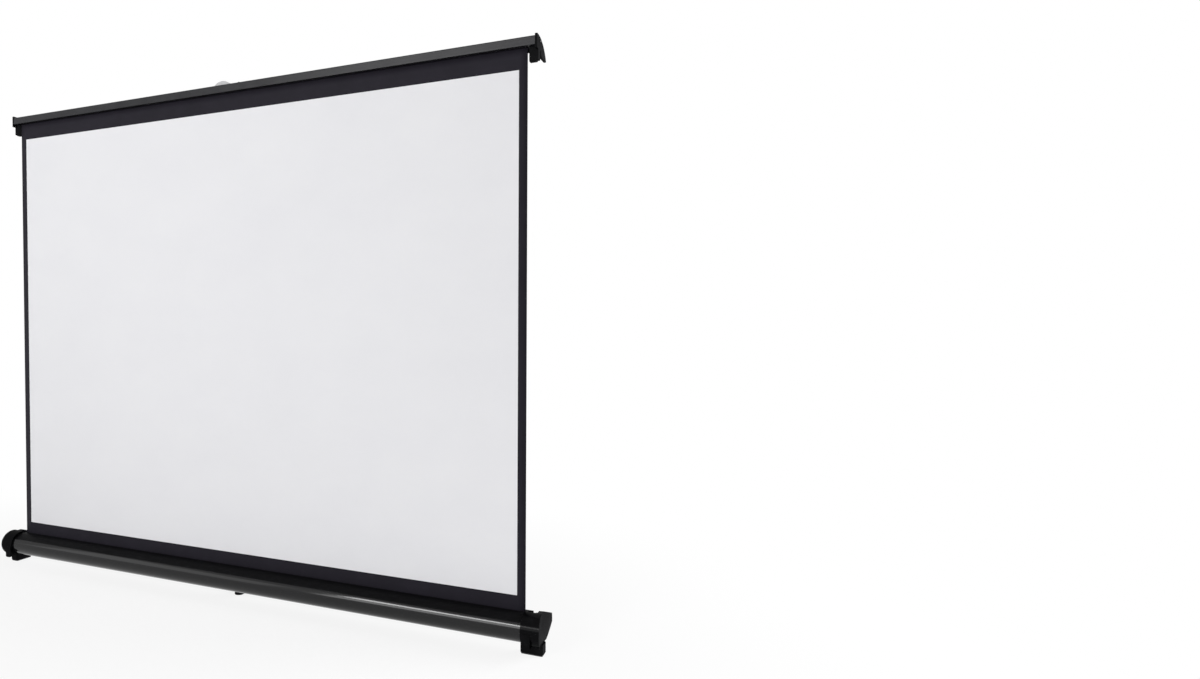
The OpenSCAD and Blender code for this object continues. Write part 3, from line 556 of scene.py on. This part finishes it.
def make_fabric():
    width = FABRIC_HIGH.x - FABRIC_LOW.x
    height = FABRIC_HIGH.z - FABRIC_LOW.z
    thickness = FABRIC_HIGH.y - FABRIC_LOW.y
    middle = (FABRIC_LOW + FABRIC_HIGH) / 2
    work = bmesh.new()
    bmesh.ops.create_grid(work, x_segments=SQUARES, y_segments=SQUARES, size=0.5)
    bmesh.ops.scale(work, vec=(width, height, 1), verts=work.verts)
    bmesh.ops.rotate(work, matrix=Matrix.Rotation(math.radians(90), 3, "X"), verts=work.verts)
    bmesh.ops.translate(work, vec=(middle.x, middle.y, middle.z), verts=work.verts)
    # Cuts along the four edges of the picture area
    for point in (PICTURE_LOW, PICTURE_HIGH):
        for normal in ((1, 0, 0), (0, 0, 1)):
            bmesh.ops.bisect_plane(
                work, geom=work.verts[:] + work.edges[:] + work.faces[:], plane_co=point,
                plane_no=normal, dist=CUT,
            )
    bmesh.ops.solidify(work, geom=work.faces[:], thickness=thickness)
    bmesh.ops.recalc_face_normals(work, faces=work.faces)
    # The pull between roller and bar leaves slow shallow waves, gone at the case and the bar
    for vertex in work.verts:
        height_share = (vertex.co.z - CASE_TOP) / (BAR_UNDERSIDE - CASE_TOP)
        calm = max(0.0, math.sin(math.pi * min(max(height_share, 0.0), 1.0)))
        calm *= 1.0 - (2.0 * abs(vertex.co.x - middle.x) / width) ** 4
        wave = noise.noise(Vector((vertex.co.x * WAVES_X, WAVE_SLICE, vertex.co.z * WAVES_Z)))
        vertex.co.y += RIPPLE * calm * wave
    for face in work.faces:
        face.normal_update()
        centre = face.calc_center_median()
        inside = PICTURE_LOW.x < centre.x < PICTURE_HIGH.x
        inside = inside and PICTURE_LOW.z < centre.z < PICTURE_HIGH.z
        if face.normal.y > 0.5:
            face.material_index = BACK
        elif inside and face.normal.y < -0.5:
            face.material_index = FRONT
        else:
            face.material_index = BORDER
        face.smooth = abs(face.normal.y) > 0.5
    # The waves leave the sheet's middle off its place
    depths = [vertex.co.y for vertex in work.verts]
    shift = middle.y - (min(depths) + max(depths)) / 2
    bmesh.ops.translate(work, vec=(0, shift, 0), verts=work.verts)
    piece = add_piece("screen_sheet", work, BODY_OF["screen_fabric"], "screen_white",
                      FINISHES["screen_black"], PICTURE, BACKING)
    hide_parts("screen_fabric", "picture_surface")
    keep = (height - bar_drop()) / height
    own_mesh(piece)


make_fabric()


# What stays as constructed gets its finish

for name, node in NODES.items():
    if not node.hide_render:
        node.data.materials.clear()
        node.data.materials.append(FINISHES[SLOT_OF[name]])


# Camera, light and floor

# The camera fitted to the front view: place in metres, turn and tilt in degrees
CAMERA_PLACE = (0.8579, -1.1156, 0.4754)
CAMERA_TURN = -24.845
CAMERA_TILT = -1.593
CAMERA_ROLL = -0.021
LENS_MM = 23.573
SHIFT_X = 0.15
SHIFT_Y = 0.0057
SENSOR_MM = 36
# Light of the room, and the rays that see room and floor plain white instead
AMBIENT = 0.11
SEES_WHITE = ("Is Camera Ray", "Is Glossy Ray", "Is Transmission Ray")
FLOOR_SIZE = 30.0
# The floor lies this far under the feet, so that their faces don't share a plane
FLOOR_DROP = 0.2 * MM
# How white the floor is at the object, where its shadow falls, and the distances from which
# it gets whiter and is plain white
FLOOR_WHITE = 0.84
WHITER_FROM = 0.15
WHITE_AT = 0.9
# What a squared metre of distance counts for side to side, where the object is long
LONG_SIDE = 0.45


def make_camera():
    data = bpy.data.cameras.new("camera")
    data.sensor_width = SENSOR_MM
    data.lens = LENS_MM
    data.shift_x = SHIFT_X
    data.shift_y = SHIFT_Y
    camera = bpy.data.objects.new("camera", data)
    camera.location = CAMERA_PLACE
    turn = Matrix.Rotation(math.radians(-CAMERA_TURN), 4, "Z")
    tilt = Matrix.Rotation(math.radians(90 + CAMERA_TILT), 4, "X")
    roll = Matrix.Rotation(math.radians(-CAMERA_ROLL), 4, "Z")
    camera.rotation_euler = (turn @ tilt @ roll).to_euler()
    bpy.context.scene.collection.objects.link(camera)
    bpy.context.scene.camera = camera


def area_light(name, place, target, size, power):
    data = bpy.data.lights.new(name, "AREA")
    data.shape = "RECTANGLE"
    data.size, data.size_y = size
    data.energy = power
    light = bpy.data.objects.new(name, data)
    light.location = place
    light.rotation_euler = (Vector(target) - Vector(place)).to_track_quat("-Z", "Y").to_euler()
    bpy.context.scene.collection.objects.link(light)


def make_world():
    world = bpy.data.worlds.new("studio")
    bpy.context.scene.world = world
    world.use_nodes = True
    tree = world.node_tree
    ray = tree.nodes.new("ShaderNodeLightPath")
    # Soft light from the room, and plain white where the camera, metal and gloss look at it
    shown = None
    for seen_by in SEES_WHITE:
        level = tree.nodes.new("ShaderNodeMapRange")
        level.inputs["To Min"].default_value = AMBIENT
        level.inputs["To Max"].default_value = 1.0
        if shown:
            tree.links.new(shown, level.inputs["To Min"])
        tree.links.new(ray.outputs[seen_by], level.inputs["Value"])
        shown = level.outputs[0]
    back = tree.nodes["Background"]
    back.inputs["Color"].default_value = (1, 1, 1, 1)
    tree.links.new(shown, back.inputs["Strength"])


def make_floor():
    """Pale floor that keeps a faint shadow near the feet and is plain white further off."""
    f = Finish("pale_floor", specular_ior_level=0.1, roughness=0.9)
    speck = f.grain(40, detail=3)
    f.put(base_color=f.blend(speck, (0.86, 0.86, 0.86), (0.90, 0.90, 0.90)))
    x, y = f.axis("X"), f.axis("Y")
    away = (x * x * LONG_SIDE + y * y) ** 0.5
    camera, gloss, through = (f.node("LightPath", {}, {}, out=ray) for ray in SEES_WHITE)
    seen = camera.highest(gloss).highest(through)
    white = f.node("Emission", {}, {"Color": (1, 1, 1, 1), "Strength": 1.0})
    share = (away.within(WHITER_FROM, WHITE_AT) * (1.0 - FLOOR_WHITE) + FLOOR_WHITE) * seen
    surface = Socket(f, f.shader.outputs[0])
    mixed = f.node("MixShader", {}, {0: share, 1: surface, 2: white})
    out = f.tree.nodes["Material Output"]
    f.tree.links.new(mixed.output, out.inputs["Surface"])
    work = bmesh.new()
    bmesh.ops.create_grid(work, x_segments=1, y_segments=1, size=FLOOR_SIZE / 2)
    mesh = bpy.data.meshes.new("floor")
    work.to_mesh(mesh)
    work.free()
    mesh.materials.append(f.material)
    floor = bpy.data.objects.new("floor", mesh)
    floor.location.z = -FLOOR_DROP
    bpy.context.scene.collection.objects.link(floor)


make_camera()
make_world()
make_floor()
# Where each light is and where it points, its width and height, and its watts
MIDDLE = (0, 0, 0.45)
area_light("front_soft", (-0.65, -2.6, 1.4), MIDDLE, (1.25, 0.45), 33)
area_light("front_low", (-0.65, -2.6, 0.7), MIDDLE, (1.25, 0.6), 11)
area_light("left_soft", (-2.3, -2.4, 1.0), MIDDLE, (1.3, 1.2), 5)
area_light("right_fill", (1.8, -2.2, 0.9), (0.2, 0, 0.4), (1.2, 1.2), 10)
area_light("back_soft", (2.05, 1.1, 0.75), (0.3, 0, 0.5), (1.2, 1.3), 66)

bpy.context.scene.view_settings.view_transform = "Standard"
